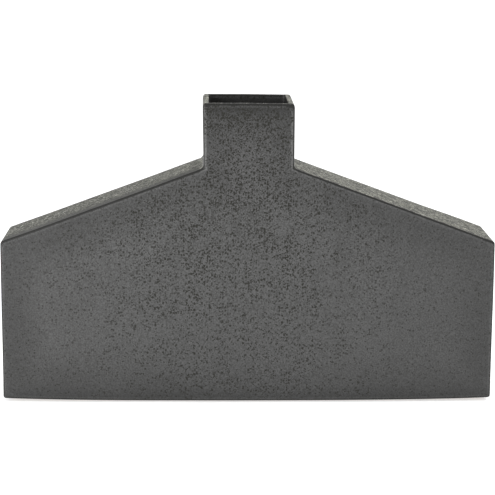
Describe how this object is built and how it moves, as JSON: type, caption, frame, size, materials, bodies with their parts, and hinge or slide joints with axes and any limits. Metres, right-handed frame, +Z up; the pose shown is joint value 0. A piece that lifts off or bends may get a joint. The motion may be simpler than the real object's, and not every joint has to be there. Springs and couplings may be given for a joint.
{
  "type": "stoneware vase",
  "caption": "Wide, flat stoneware vase with sloping shoulders and a short square neck, slab-built in speckled charcoal glaze, on felt pads.",
  "frame": {"origin": "on the table under the middle of the base, level with the undersides of the felt pads", "axes": "+X along the vase's width, to the right as seen from the front; +Y from front to back, so the front faces -Y; +Z up the neck"},
  "size_m": [0.4, 0.074, 0.2463],
  "materials": {
    "speckled_glaze": "semi-matte charcoal grey glaze with fine dark iron speckles, paler on the shoulders and along the rim",
    "bare_clay": "unglazed buff stoneware, wiped smooth, fine grog showing",
    "felt": "dense dark felt"
  },
  "bodies": {
    "root": {"front_slab": "speckled_glaze", "back_slab": "speckled_glaze", "base_slab": "bare_clay", "left_end_slab": "speckled_glaze", "right_end_slab": "speckled_glaze", "left_shoulder_slab": "speckled_glaze", "right_shoulder_slab": "speckled_glaze", "left_neck_slab": "speckled_glaze", "right_neck_slab": "speckled_glaze", "felt_pad_front_left": "felt", "felt_pad_front_right": "felt", "felt_pad_back_left": "felt", "felt_pad_back_right": "felt"}
  },
  "joints": []
}
